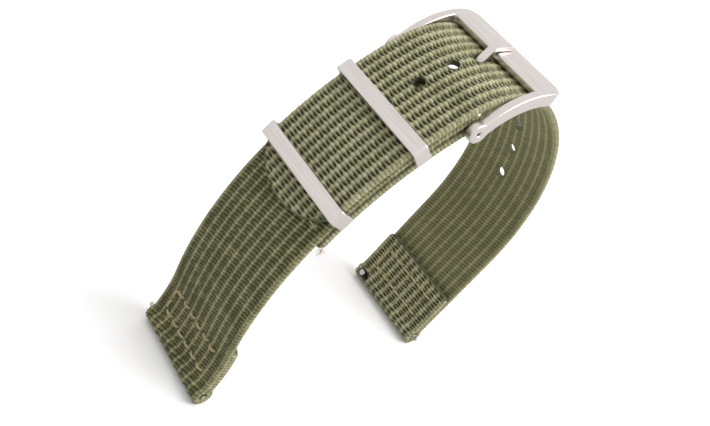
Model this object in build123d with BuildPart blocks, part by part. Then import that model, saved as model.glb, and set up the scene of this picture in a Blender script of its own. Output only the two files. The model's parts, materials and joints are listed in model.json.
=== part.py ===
from build123d import *
from math import acos, atan2, cos, degrees, radians, sin, sqrt, tan
import os

# A two-piece ribbed webbing watch strap, buckled into its loop and standing on its two
# lug ends. +X runs from the buckle piece's lug to the hole piece's lug, +Y across the
# webbing, +Z up. The table is z = 0 and the origin lies below the middle of the loop.

# Webbing
width = 22.0
thickness = 1.2
layer_gap = 0.12
overrun = 1.0
fine_gap = 0.05

# Side view of the loop, walked from the short lug over the top to the long lug
lug_place = 32.52
foot_heading = 70.8
foot_run = 2.5
foot_radius = 30.0
foot_turn = 17.0
leg_radius = 67.0
leg_turn = 52.8
crown_radius = 17.2
crown_turn = 63.0
far_radius = 34.0
far_turn = 84.5

# Places along the loop, measured from the buckle's pin
tail_back = 33.3
under_back = 34.1
rear_keeper_back = 27.0
front_keeper_back = 10.4
tip_length = 8.0
hole_pitch = 6.8
holes_before = 3
holes_after = 6
hole_radius = 1.1
worn_hole_length = 4.0

# Lug folds and the fold round the buckle's pin
fold_clearance = 0.10
fold_bend = 1.2
fold_back = 12.0
pin_bend = 2.4

# Quick-release bars and the buckle's pin
bar_radius = 0.75
bar_bore = 0.52
bar_recess = 0.05
bar_shift = 0.8
tip_radius = 0.40
neck_step = 0.02
tip_reach = 0.95
collar = 0.3
plunger_gap = 0.04
plunger_length = 3.4
plug_length = 8.0
spring_wall = 0.14
release_travel = 1.3
knob_inset = 2.1
knob_radius = 0.75
knob_height = 1.05
knob_proud = 0.25
stem_radius = 0.3
notch_gap = 0.15
ear_gap = 0.25
pin_tip_reach = 1.3
pin_plunger = 2.4

# Buckle frame and tongue
frame_under_radius = 15.2
frame_thickness = 2.7
pin_lift = 1.65
frame_arm_turn = 43.0
frame_bar_turn = 20.5
frame_side_gap = 0.3
arm_width = 1.7
ear_radius = 1.95
bar_thickness = 1.4
bar_clearance = 0.25
corner_radius = 2.8
tongue_width = 1.6
tongue_thickness = 0.8
tongue_dip = 18.0
tongue_run = 7.0
tongue_rise_turn = 42.0
tongue_bend = 1.1
tongue_rest_turn = 9.0
tongue_overhang = 1.0
tongue_rest_gap = 0.06
tongue_slot_gap = 0.35

# Keepers
keeper_width = 2.9
keeper_plate = 0.8
keeper_side_gap = 0.25
keeper_play = 0.16
keeper_corner = 0.9
keeper_edge = 0.15

# Stitching
thread = 0.42
thread_depth = 0.2
thread_stand = 0.08
thread_gap = 0.03
post_share = 0.8
lug_row_low = 3.6
lug_row_high = 8.8
lug_stitches = 6
lug_row_margin = 3.1
side_stitches = 2
keeper_row_offset = 4.2
keeper_row_margin = 1.7
keeper_stitches = 6

# Sizes that follow
half_width = width / 2
pocket = keeper_plate + 2 * keeper_play
fold_inner = bar_radius + fold_clearance
fold_outer = fold_inner + thickness
fold_middle = fold_inner + thickness / 2
fold_depth = 2 * thickness + layer_gap
sleeve_depth = 2 * thickness + pocket
long_out = layer_gap + thickness
lug_bend_rise = (thickness + layer_gap) / 2 + fold_bend
lug_join = sqrt((fold_bend + fold_middle) ** 2 - lug_bend_rise**2)
bar_half = half_width - bar_recess
knob_place = half_width - knob_inset


class Route:
    """A walk in the side view, in straight runs and in bends to the right or left."""

    def __init__(self, x, z, heading):
        self.legs = []
        self.here = (x, z, heading)
        self.length = 0.0

    def run(self, length):
        self.bend(length, 0.0, 0.0)

    def turn(self, radius, angle):
        """Bends to the right for a positive radius, and to the left for a negative one."""
        self.bend(abs(radius) * radians(angle), radius, angle)

    def bend(self, length, radius, angle):
        self.legs.append((self.length, length, radius, self.here))
        self.here = self.walk(self.here, length, radius)
        self.length += length

    @staticmethod
    def walk(start, length, radius):
        x, z, heading = start
        away = radians(heading)
        if radius == 0:
            return x + length * cos(away), z + length * sin(away), heading
        after = away - length / radius
        return (
            x + radius * (sin(away) - sin(after)),
            z + radius * (cos(after) - cos(away)),
            degrees(after),
        )

    def state(self, place):
        for begin, length, radius, start in self.legs:
            if place <= begin + length:
                return self.walk(start, place - begin, radius)
        return self.here

    def spot(self, place, out=0.0, across=0.0):
        """The plane that lies on the route: x along it, y across and z outwards."""
        x, z, heading = self.state(place)
        away = radians(heading)
        origin = (x - out * sin(away), across, z + out * cos(away))
        return Plane(origin=origin, x_dir=(cos(away), 0, sin(away)), z_dir=(-sin(away), 0, cos(away)))

    def band(self, begin, end, low, high):
        """Adds the face between two offsets from the route to the sketch in hand."""
        for first, length, radius, start in self.legs:
            a = max(begin, first)
            b = min(end, first + length)
            if b <= a:
                continue
            x, z, heading = self.walk(start, a - first, radius)
            away = radians(heading)
            if radius == 0:
                along = Vector(cos(away), sin(away)) * (b - a)
                out = Vector(-sin(away), cos(away))
                foot = Vector(x, z)
                strip(foot + out * low, foot + out * high, along)
                continue
            centre = (x + radius * sin(away), z - radius * cos(away))
            side = 90.0 if radius > 0 else -90.0
            ring(centre, abs(radius + low), abs(radius + high), heading + side, -degrees((b - a) / radius))


def strip(foot, head, along):
    """Adds a straight piece of a band, given its first end and its run."""
    with BuildLine() as outline:
        Polyline(foot, head, head + along, foot + along, close=True)
    make_face(outline.edges())


def ring(centre, inner, outer, start, turn):
    """Adds a bent piece of a band, round a centre from one angle through a turn."""
    with BuildLine() as outline:
        low = CenterArc(centre, inner, start, turn)
        high = CenterArc(centre, outer, start, turn)
        Line(low @ 0, high @ 0)
        Line(low @ 1, high @ 1)
    make_face(outline.edges())


def lug_eye():
    """The eye round a lug's bar and the bends into its two layers, with x up the leg."""
    meet = degrees(atan2(lug_bend_rise, lug_join))
    ring((0, 0), fold_inner, fold_outer, meet, 360.0 - 2 * meet)
    for side in (-1, 1):
        centre = (lug_join, side * lug_bend_rise)
        low, high = fold_bend - thickness / 2, fold_bend + thickness / 2
        ring(centre, low, high, side * (meet + 180.0), side * (90.0 - meet))


def reach_point(first, first_reach, second, second_reach):
    """The place at the given distances from two places, to the left of the way between them."""
    gap = second - first
    along = (first_reach**2 - second_reach**2 + gap.length**2) / (2 * gap.length)
    aside = sqrt(first_reach**2 - along**2)
    way = gap.normalized()
    return first + way * along + Vector(-way.Y, way.X) * aside


def polar(angle, reach=1.0):
    return Vector(cos(radians(angle)), sin(radians(angle))) * reach


def side_point(plane):
    """The place of a plane's origin in the side view."""
    return Vector(plane.origin.X, plane.origin.Z)


def box_at(plane, length, depth, height, mode=Mode.ADD):
    with Locations(plane):
        Box(length, depth, height, mode=mode)


def sew(planes, top, bottom, links, extra, mode):
    """Threads posts through the webbing at the planes, and joins the linked ones above and below."""
    size = thread + 2 * extra
    height = top - bottom
    for plane in planes:
        with BuildSketch(plane.offset(bottom)) as post:
            Circle(post_share * size / 2)
        extrude(to_extrude=post.sketch, amount=height, dir=plane.z_dir, mode=mode)
    for first, second in links:
        start, end = planes[first], planes[second]
        gap = end.origin - start.origin
        middle = start.origin + gap / 2
        low_side = bottom + (thread_depth + thread_stand) / 2
        high_side = top - (thread_depth + thread_stand) / 2
        for level in (low_side, high_side):
            lie = Plane(origin=middle + start.z_dir * level, x_dir=gap.normalized(), z_dir=start.z_dir)
            box_at(lie, gap.length, size, thread_depth + thread_stand + extra, mode)


def row_across(margin, count):
    """Even places across the webbing, with a margin at both edges."""
    half_row = half_width - margin
    return [half_row * (2 * i / count - 1) for i in range(count + 1)]


def seam_box(spot, low, high):
    """The planes and links of a lug's seam: two rows across and one line between them."""
    across = row_across(lug_row_margin, lug_stitches)
    planes = [spot(low, y) for y in across] + [spot(high, y) for y in across]
    links = [(i, i + 1) for i in range(lug_stitches)]
    links += [(i + lug_stitches + 1, i + lug_stitches + 2) for i in range(lug_stitches)]
    step = (high - low) / side_stitches
    chain = [lug_stitches]
    for i in range(1, side_stitches):
        planes.append(spot(low + step * i, across[-1]))
        chain.append(len(planes) - 1)
    chain.append(2 * lug_stitches + 1)
    links += list(zip(chain, chain[1:]))
    return planes, links


def finish(part, name):
    part.part.label = name
    export_step(part.part, f"parts/{name}.step")


os.makedirs("parts", exist_ok=True)

# The guide is the outer face of the buckle piece, and the hole piece lies just outside it
foot = radians(foot_heading)
foot_x = -lug_place - fold_depth / 2 * sin(foot)
guide = Route(foot_x, fold_outer + fold_depth / 2 * cos(foot), foot_heading)
guide.run(foot_run)
guide.turn(-foot_radius, foot_turn)
guide.turn(leg_radius, leg_turn)
pin_place = guide.length
guide.turn(crown_radius, crown_turn)
guide.turn(far_radius, far_turn)
long_bar_out = long_out - fold_depth / 2
end_angle = radians(guide.here[2])
guide.run((fold_outer - long_bar_out * cos(end_angle) - guide.here[1]) / sin(end_angle))
loop_end = guide.length
pin = guide.spot(pin_place, -fold_outer)
leg_centre = guide.spot(pin_place, -leg_radius)
short_bar = guide.spot(0, -fold_depth / 2)
long_bar = guide.spot(loop_end, long_bar_out)
rear_keeper_place = pin_place - rear_keeper_back
front_keeper_place = pin_place - front_keeper_back
tail_tip = pin_place - tail_back
under_end = pin_place - under_back

# Buckle frame: two ears on the pin, and a bar that rests just clear of the hole piece
pin_spot = side_point(pin)
crown_centre = side_point(guide.spot(pin_place, -crown_radius))
frame_pin_reach = frame_under_radius + pin_lift
bar_under_radius = frame_under_radius + frame_thickness - bar_thickness
frame_top_radius = frame_under_radius + frame_thickness
chord = (polar(frame_arm_turn, frame_pin_reach) - Vector(bar_under_radius, 0)).length
bar_over = crown_radius + long_out + bar_clearance
bar_under = reach_point(pin_spot, chord, crown_centre, bar_over)
frame_centre = reach_point(bar_under, bar_under_radius, pin_spot, frame_pin_reach)
bar_inner = bar_under - frame_centre
bar_inner_angle = degrees(atan2(bar_inner.Y, bar_inner.X))

# Tongue: it runs below the hole piece, rises through a hole and comes to rest on the bar
eye_inner = bar_radius + fine_gap
eye_middle = eye_inner + tongue_thickness / 2
tongue_heading = guide.state(pin_place)[2] - tongue_dip
rise_heading = tongue_heading + tongue_rise_turn
rest_angle = bar_inner_angle - tongue_rest_turn
rest_heading = rest_angle - 90.0
rest = frame_centre + polar(rest_angle, frame_top_radius + tongue_rest_gap + tongue_thickness / 2)
tongue_start = pin_spot + polar(tongue_heading + 90.0, eye_middle)
tongue_path = Route(tongue_start.X, tongue_start.Y, tongue_heading)
tongue_path.run(tongue_run)
tongue_path.turn(-tongue_bend, tongue_rise_turn)
rise_foot = Vector(tongue_path.here[0], tongue_path.here[1])
over_turn = rise_heading - rest_heading
rise_way, rest_way = polar(rise_heading), polar(rest_heading)
span = rest - rise_foot
rise_length = (span.X * rest_way.Y - span.Y * rest_way.X) / sin(radians(rest_heading - rise_heading))
rest_length = (rest - (rise_foot + rise_way * rise_length)).length
over_setback = tongue_bend * tan(radians(over_turn / 2))
tongue_path.run(rise_length - over_setback)
tongue_path.turn(tongue_bend, over_turn)
tongue_path.run(rest_length - over_setback + tongue_overhang)

# The hole that the tongue rises through sets where the others lie
hole_reach = crown_radius + (layer_gap + long_out) / 2
from_crown = rise_foot - crown_centre
along_rise = from_crown.X * rise_way.X + from_crown.Y * rise_way.Y
to_hole = sqrt(along_rise**2 - from_crown.length**2 + hole_reach**2) - along_rise
hole_way = rise_foot + rise_way * to_hole - crown_centre
crown_start = guide.state(pin_place)[2] + 90.0
hole_turn = crown_start - degrees(atan2(hole_way.Y, hole_way.X))
tongue_hole = pin_place + crown_radius * radians(hole_turn)


def short_seat(place, across=0.0):
    """A place on the outer face near the short lug."""
    return guide.spot(place, 0.0, across)


def long_seat(place, across=0.0):
    """A place on the outer face near the long lug, measured up from its bar."""
    return guide.spot(loop_end - place, long_out, across)


# Buckle piece: one length of webbing, folded round the lug bar and round the buckle's pin
lower_middle = leg_radius - pocket - 1.5 * thickness
pin_reach = leg_radius - fold_outer
bend_reach = lower_middle - pin_bend
both = pin_bend + fold_middle
swing = acos((bend_reach**2 + pin_reach**2 - both**2) / (2 * bend_reach * pin_reach))
bend_x, bend_y = bend_reach * cos(swing), -bend_reach * sin(swing)
meet_angle = degrees(atan2(bend_y, bend_x - pin_reach)) + 360.0
join_place = pin_place - leg_radius * swing
pin_side = Plane(origin=leg_centre.origin, x_dir=pin.z_dir, z_dir=(0, 1, 0))
short_fold = Plane(origin=short_bar.origin, x_dir=short_bar.x_dir, z_dir=(0, 1, 0))
long_fold = Plane(origin=long_bar.origin, x_dir=-long_bar.x_dir, z_dir=(0, -1, 0))
notch_length = release_travel + 2 * (knob_radius + notch_gap)


def bar_plane(seat, shift):
    """The plane across a lug bar: x inwards to the wrist, z along the bar to the far side."""
    return Plane(origin=seat.origin + Vector(0, shift, 0), x_dir=-seat.z_dir, z_dir=(0, 1, 0))


def notch(seat, shift):
    """Cuts the release knob's notch through the inner wall of a lug fold."""
    middle = knob_place - release_travel / 2 + shift
    face = Plane(origin=seat.origin + Vector(0, middle, 0), x_dir=(0, 1, 0), z_dir=-seat.z_dir)
    with BuildSketch(face) as opening:
        SlotOverall(notch_length, 2 * (knob_radius + notch_gap))
    extrude(to_extrude=opening.sketch, amount=fold_outer + overrun, dir=face.z_dir, mode=Mode.SUBTRACT)


keeper_rows = []
for keeper_seat in (rear_keeper_place, front_keeper_place):
    for side in (-1, 1):
        row_place = keeper_seat + side * keeper_row_offset
        row_places = row_across(keeper_row_margin, keeper_stitches)
        keeper_rows.append([guide.spot(row_place, 0.0, across) for across in row_places])
row_links = [(i, i + 1) for i in range(keeper_stitches)]
short_planes, box_links = seam_box(short_seat, lug_row_low, lug_row_high)
long_planes, box_links = seam_box(long_seat, lug_row_low, lug_row_high)

with BuildPart() as short_strap:
    with BuildSketch(Plane.XZ):
        guide.band(lug_join, pin_place, -thickness, 0)
        guide.band(lug_join, fold_back, -fold_depth, -thickness - layer_gap)
        guide.band(under_end, join_place, -sleeve_depth, -thickness - pocket)
    extrude(amount=half_width, both=True)
    with BuildSketch(short_fold):
        lug_eye()
    extrude(amount=half_width, both=True)
    with BuildSketch(pin_side):
        ring((pin_reach, 0), fold_inner, fold_outer, 0.0, meet_angle)
        low, high = pin_bend - thickness / 2, pin_bend + thickness / 2
        ring((bend_x, bend_y), low, high, meet_angle - 180.0, 180.0 - degrees(swing) - meet_angle)
    extrude(amount=half_width, both=True)
    with BuildSketch(Plane(origin=pin.origin, z_dir=(0, 1, 0))):
        Circle(fold_outer + tongue_slot_gap)
    extrude(amount=tongue_width / 2 + tongue_slot_gap, both=True, mode=Mode.SUBTRACT)
    notch(short_bar, bar_shift)
    sew(short_planes, thread_stand, -fold_depth - thread_stand, box_links, thread_gap, Mode.SUBTRACT)
    for row in keeper_rows:
        sew(row, thread_stand, -sleeve_depth - thread_stand, row_links, thread_gap, Mode.SUBTRACT)
finish(short_strap, "short_strap")

# Hole piece: folded round its lug bar, with a rounded tip and a row of punched holes. The hole
# in use is worn longer towards the tip.
unworn_hole = tongue_hole + worn_hole_length / 2 - hole_radius

with BuildPart() as long_strap:
    with BuildSketch(Plane.XZ):
        guide.band(tail_tip, loop_end - lug_join, layer_gap, long_out)
        guide.band(loop_end - fold_back, loop_end - lug_join, long_out - fold_depth, 0)
    extrude(amount=half_width, both=True)
    with BuildSketch(long_fold):
        lug_eye()
    extrude(amount=half_width, both=True)
    with BuildSketch(guide.spot(tail_tip + tip_length, 0)):
        with Locations((-tip_length, 0)):
            Rectangle(2 * tip_length, width + 2 * overrun)
        Ellipse(tip_length, half_width, mode=Mode.SUBTRACT)
        with Locations((tip_length, 0)):
            Rectangle(2 * tip_length, width + 4 * overrun, mode=Mode.SUBTRACT)
    extrude(amount=long_out + overrun, both=True, mode=Mode.SUBTRACT)
    for count in range(-holes_before, holes_after + 1):
        if count == 0:
            with BuildSketch(guide.spot(tongue_hole, layer_gap - overrun)):
                SlotOverall(worn_hole_length, 2 * hole_radius)
        else:
            with BuildSketch(guide.spot(unworn_hole + hole_pitch * count, layer_gap - overrun)):
                Circle(hole_radius)
        extrude(amount=thickness + 2 * overrun, mode=Mode.SUBTRACT)
    notch(long_bar, 0)
    sew(long_planes, thread_stand, -fold_depth - thread_stand, box_links, thread_gap, Mode.SUBTRACT)
finish(long_strap, "long_strap")

# Stitching: each lug has two rows and a side line, and each keeper a row on both sides
with BuildPart() as short_lug_stitching:
    sew(short_planes, thread_stand, -fold_depth - thread_stand, box_links, 0, Mode.ADD)
finish(short_lug_stitching, "short_lug_stitching")

with BuildPart() as long_lug_stitching:
    sew(long_planes, thread_stand, -fold_depth - thread_stand, box_links, 0, Mode.ADD)
finish(long_lug_stitching, "long_lug_stitching")

with BuildPart() as keeper_stitching:
    for row in keeper_rows:
        sew(row, thread_stand, -sleeve_depth - thread_stand, row_links, 0, Mode.ADD)
finish(keeper_stitching, "keeper_stitching")

# Keepers: flat metal loops whose lower bar sits between the two layers of the buckle piece
keeper_low = -thickness - keeper_play - keeper_plate
keeper_high = long_out + keeper_play + keeper_plate
keeper_depth = width + 2 * keeper_side_gap + 2 * keeper_plate
for name, place in (("rear_keeper", rear_keeper_place), ("front_keeper", front_keeper_place)):
    seat = guide.spot(place, (keeper_low + keeper_high) / 2)
    with BuildPart() as keeper:
        with BuildSketch(Plane(origin=seat.origin, x_dir=(0, 1, 0), z_dir=seat.x_dir)):
            RectangleRounded(keeper_depth, keeper_high - keeper_low, keeper_corner)
            inner_height = keeper_high - keeper_low - 2 * keeper_plate
            inner_corner = keeper_corner - keeper_plate
            RectangleRounded(keeper_depth - 2 * keeper_plate, inner_height, inner_corner, mode=Mode.SUBTRACT)
        extrude(amount=keeper_width / 2, both=True)
        faces = keeper.faces().filter_by(Axis(seat.origin, seat.x_dir))
        fillet(faces.edges(), keeper_edge)
    finish(keeper, name)

# Buckle frame: an arched U with a wide front bar, thinner than the arms
frame_inner = half_width + frame_side_gap
frame_half = frame_inner + arm_width
frame_back_turn = frame_arm_turn + frame_bar_turn

with BuildPart() as buckle_frame:
    with BuildSketch(Plane.XZ):
        nose_angle = bar_inner_angle - frame_bar_turn
        ring(frame_centre, frame_under_radius, frame_top_radius, nose_angle, frame_back_turn)
        with Locations(pin_spot):
            Circle(ear_radius)
    extrude(amount=frame_half, both=True)
    nose = buckle_frame.faces().filter_by(GeomType.PLANE).sort_by(Axis.X)[-1]
    fillet(nose.edges().filter_by(Axis.Y, reverse=True), corner_radius)
    with BuildSketch(Plane.XZ):
        ring(frame_centre, overrun, 2 * frame_under_radius, bar_inner_angle, 2 * frame_arm_turn)
        ring(frame_centre, overrun, bar_under_radius, bar_inner_angle, -2 * frame_bar_turn)
    extrude(amount=frame_inner, both=True, mode=Mode.SUBTRACT)
    with BuildSketch(Plane(origin=pin.origin, z_dir=(0, 1, 0))):
        Circle(tip_radius + fine_gap)
    extrude(amount=frame_half + overrun, both=True, mode=Mode.SUBTRACT)
finish(buckle_frame, "buckle_frame")

# Tongue: an eye on the pin's tube and a bent strip
with BuildPart() as buckle_tongue:
    with BuildSketch(Plane.XZ):
        with Locations(pin_spot):
            Circle(eye_inner + tongue_thickness)
        tongue_path.band(0, tongue_path.length, -tongue_thickness / 2, tongue_thickness / 2)
        with Locations(pin_spot):
            Circle(eye_inner, mode=Mode.SUBTRACT)
    extrude(amount=tongue_width / 2, both=True)
finish(buckle_tongue, "buckle_tongue")

# The buckle's pin: a tube with a sprung tip at each end, turning in the frame's ears
pin_axis = Plane(origin=pin.origin, x_dir=pin.x_dir, z_dir=(0, 1, 0))
pin_half = frame_inner - ear_gap

with BuildPart() as buckle_pin_tube:
    with BuildSketch(pin_axis):
        Circle(bar_radius)
    extrude(amount=pin_half, both=True)
    with BuildSketch(pin_axis):
        Circle(bar_bore)
    extrude(amount=pin_half - collar, both=True, mode=Mode.SUBTRACT)
    with BuildSketch(pin_axis):
        Circle(tip_radius + plunger_gap)
    extrude(amount=pin_half + overrun, both=True, mode=Mode.SUBTRACT)
finish(buckle_pin_tube, "buckle_pin_tube")

for name, side in (("buckle_pin_near_tip", -1), ("buckle_pin_far_tip", 1)):
    shoulder = Plane(
        origin=pin.origin + Vector(0, side * (pin_half - collar), 0), x_dir=pin.x_dir, z_dir=(0, side, 0)
    )
    with BuildPart() as pin_tip:
        with BuildSketch(shoulder):
            Circle(bar_bore - plunger_gap)
        extrude(amount=-pin_plunger)
        with BuildSketch(shoulder):
            Circle(tip_radius)
        extrude(amount=collar + pin_tip_reach)
        fillet(pin_tip.edges().sort_by(Axis((0, 0, 0), (0, side, 0)))[-1], tip_radius / 3)
    finish(pin_tip, name)

with BuildPart() as buckle_pin_spring:
    with BuildSketch(pin_axis):
        Circle(bar_bore - plunger_gap)
        Circle(bar_bore - plunger_gap - spring_wall, mode=Mode.SUBTRACT)
    extrude(amount=pin_half - collar - pin_plunger, both=True)
finish(buckle_pin_spring, "buckle_pin_spring")

# Quick-release bars: the near tip is fixed, and the knob draws the far tip in against its spring
for name, seat, shift in (("short_bar", short_bar, bar_shift), ("long_bar", long_bar, 0)):
    across = bar_plane(seat, shift)
    lip = across.offset(bar_half - collar)
    with BuildPart() as tube:
        with BuildSketch(across):
            Circle(bar_radius)
        extrude(amount=bar_half, both=True)
        with BuildSketch(across.offset(-bar_half)):
            Circle(bar_bore)
        extrude(amount=2 * bar_half - collar, mode=Mode.SUBTRACT)
        with BuildSketch(lip):
            Circle(tip_radius + plunger_gap)
        extrude(amount=collar + overrun, mode=Mode.SUBTRACT)
        slot_middle = across.origin + Vector(0, knob_place - release_travel / 2, 0)
        with BuildSketch(Plane(origin=slot_middle, x_dir=(0, 1, 0), z_dir=across.x_dir)):
            SlotOverall(release_travel + 2 * (stem_radius + fine_gap), 2 * (stem_radius + fine_gap))
        extrude(amount=bar_radius + overrun, mode=Mode.SUBTRACT)
    finish(tube, f"{name}_tube")

    plug_face = across.offset(-bar_half)
    with BuildPart() as fixed_tip:
        with BuildSketch(plug_face):
            Circle(bar_bore)
        extrude(amount=plug_length)
        with BuildSketch(plug_face):
            Circle(tip_radius)
        extrude(amount=-tip_reach)
        fillet(fixed_tip.edges().sort_by(Axis.Y)[0], tip_radius / 3)
    finish(fixed_tip, f"{name}_fixed_tip")

    with BuildPart() as release_tip:
        with BuildSketch(lip):
            Circle(bar_bore - plunger_gap)
        extrude(amount=-plunger_length)
        with BuildSketch(lip):
            Circle(tip_radius - neck_step)
        extrude(amount=collar)
        with BuildSketch(lip.offset(collar)):
            Circle(tip_radius)
        extrude(amount=tip_reach)
        fillet(release_tip.edges().sort_by(Axis.Y)[-1], tip_radius / 3)
        stem_seat = Plane(origin=across.origin + Vector(0, knob_place, 0), x_dir=(0, 1, 0), z_dir=across.x_dir)
        with BuildSketch(stem_seat):
            Circle(stem_radius)
        extrude(amount=bar_bore, mode=Mode.SUBTRACT)
    finish(release_tip, f"{name}_release_tip")

    with BuildPart() as knob:
        with BuildSketch(stem_seat):
            Circle(stem_radius)
        extrude(amount=fold_outer)
        with BuildSketch(stem_seat.offset(fold_outer + knob_proud - knob_height)):
            Circle(knob_radius)
        extrude(amount=knob_height)
        rim = knob.edges().filter_by(GeomType.CIRCLE).sort_by(Axis(across.origin, across.x_dir))[-1]
        fillet(rim, knob_height / 4)
    finish(knob, f"{name}_knob")

    spring_start = plug_length - bar_half
    spring_end = bar_half - collar - plunger_length
    with BuildPart() as spring:
        with BuildSketch(across.offset(spring_start)):
            Circle(bar_bore - plunger_gap)
            Circle(bar_bore - plunger_gap - spring_wall, mode=Mode.SUBTRACT)
        extrude(amount=spring_end - spring_start)
    finish(spring, f"{name}_spring")
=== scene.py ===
import json
import math
import bpy
import numpy as np
from mathutils import Matrix, Vector


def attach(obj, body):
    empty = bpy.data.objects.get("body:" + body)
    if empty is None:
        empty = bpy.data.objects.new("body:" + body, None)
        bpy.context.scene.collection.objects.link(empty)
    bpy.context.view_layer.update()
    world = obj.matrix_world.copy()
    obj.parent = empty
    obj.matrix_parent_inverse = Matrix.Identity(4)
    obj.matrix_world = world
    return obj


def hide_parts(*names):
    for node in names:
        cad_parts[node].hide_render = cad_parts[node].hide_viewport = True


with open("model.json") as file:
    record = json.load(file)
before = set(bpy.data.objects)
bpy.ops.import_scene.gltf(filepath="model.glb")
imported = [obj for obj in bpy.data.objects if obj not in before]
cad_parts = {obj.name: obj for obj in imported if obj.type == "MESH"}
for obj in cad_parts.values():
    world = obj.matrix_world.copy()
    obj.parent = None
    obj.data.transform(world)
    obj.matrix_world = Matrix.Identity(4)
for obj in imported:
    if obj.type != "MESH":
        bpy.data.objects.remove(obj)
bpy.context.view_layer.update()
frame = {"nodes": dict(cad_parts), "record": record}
print("frame loaded with", len(frame["nodes"]), "nodes")

mm = 0.001
rng = np.random.default_rng(11)

# the strap's sizes in millimetres, as the solids have them
strap = dict(
    width=22.0, thickness=1.2, layerGap=0.12, lugPlace=32.52, footHeading=70.8,
    footRun=2.5, footRadius=30.0, footTurn=17.0, legRadius=67.0, legTurn=52.8,
    crownRadius=17.2, crownTurn=63.0, farRadius=34.0, farTurn=84.5,
    barRadius=0.75, foldClearance=0.10, foldBend=1.2, foldBack=12.0, pinBend=2.4, pocket=1.12,
    tailBack=33.3, underBack=34.1, tipLength=8.0,
)
# how finely its lines are laid out
fine = dict(arcStep=0.08, levelStep=0.12, fewest=3, shortest=1e-4, look=0.2, tolerance=1e-9)


# side view of the strap: a walk through x and z in straight runs and bends
class Walk:
    def __init__(self, x, z, heading):
        self.legs = []
        self.here = (x, z, heading)
        self.length = 0.0

    def run(self, length):
        self.bend(length, 0.0)

    def turn(self, radius, angle):  # a negative radius turns to the left
        self.bend(abs(radius) * math.radians(angle), radius)

    def bend(self, length, radius):
        self.legs.append((self.length, radius, self.here))
        self.here = tuple(float(v) for v in self.after(self.here, length, radius))
        self.length += length

    @staticmethod
    def after(start, length, radius):
        x, z, heading = start
        away = math.radians(heading)
        if radius == 0:
            return x + length * math.cos(away), z + length * math.sin(away), heading + 0 * length
        then = away - length / radius
        return (x + radius * (math.sin(away) - np.sin(then)),
                z + radius * (np.cos(then) - math.cos(away)), np.degrees(then))

    # x, z and heading at places along the walk, moved outwards
    def at(self, places, out=0.0):
        places = np.atleast_1d(np.asarray(places, float))
        found = np.zeros((len(places), 3))
        for first, radius, start in self.legs:
            here = places >= first - fine["tolerance"]
            found[here] = np.stack(self.after(start, places[here] - first, radius), 1)
        away = np.radians(found[:, 2])
        found[:, 0] -= np.sin(away) * out
        found[:, 1] += np.cos(away) * out
        return found


half = strap["width"] / 2
thick = strap["thickness"]
foldInner = strap["barRadius"] + strap["foldClearance"]
foldOuter = foldInner + thick
foldMiddle = foldInner + thick / 2
foldDepth = 2 * thick + strap["layerGap"]
longOut = strap["layerGap"] + thick
layerMiddle = (thick + strap["layerGap"]) / 2
bendRise = layerMiddle + strap["foldBend"]
lugJoin = math.sqrt((strap["foldBend"] + foldMiddle) ** 2 - bendRise ** 2)
lugMeet = math.degrees(math.atan2(bendRise, lugJoin))

# the guide is the outer face of the buckle piece, and the hole piece's lower one runs just over it
foot = math.radians(strap["footHeading"])
guide = Walk(-strap["lugPlace"] - foldDepth / 2 * math.sin(foot),
             foldOuter + foldDepth / 2 * math.cos(foot), strap["footHeading"])
guide.run(strap["footRun"])
guide.turn(-strap["footRadius"], strap["footTurn"])
guide.turn(strap["legRadius"], strap["legTurn"])
pinPlace = guide.length
guide.turn(strap["crownRadius"], strap["crownTurn"])
guide.turn(strap["farRadius"], strap["farTurn"])
endAngle = math.radians(guide.here[2])
longBarOut = longOut - foldDepth / 2
guide.run((foldOuter - longBarOut * math.cos(endAngle) - guide.here[1]) / math.sin(endAngle))
loopEnd = guide.length
tailTip = pinPlace - strap["tailBack"]
underEnd = pinPlace - strap["underBack"]


def unit(heading):
    return np.array([math.cos(math.radians(heading)), math.sin(math.radians(heading))])


# points round a centre, from one angle through a sweep in degrees
def arc(centre, radius, start, sweep):
    count = max(fine["fewest"], int(abs(math.radians(sweep)) * radius / fine["arcStep"]))
    angles = np.radians(start + sweep * np.linspace(0, 1, count))
    return np.stack([centre[0] + radius * np.cos(angles), centre[1] + radius * np.sin(angles)], 1)


# from a fold's own axes to the side view
def placed(points, origin, along, side):
    return np.asarray(origin) + points[:, :1] * along + points[:, 1:] * side


# points along the guide at one height over it
def level(begin, end, out):
    count = max(fine["fewest"], int(abs(end - begin) / fine["levelStep"]))
    return guide.at(np.linspace(begin, end, count), out)[:, :2]


# the middle line round a lug's bar, from the outer layer to the inner one
def lugEye(bar, along, side):
    bend = strap["foldBend"]
    eye = [arc((lugJoin, -bendRise), bend, 90.0, 90.0 - lugMeet),
           arc((0, 0), foldMiddle, -lugMeet, lugMeet * 2 - 360.0),
           arc((lugJoin, bendRise), bend, 180.0 + lugMeet, 90.0 - lugMeet)]
    return placed(np.concatenate(eye), bar, along, side)


shortBar = guide.at(0, -foldDepth / 2)[0]
longBar = guide.at(loopEnd, longBarOut)[0]
pin = guide.at(pinPlace, -foldOuter)[0]

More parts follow.
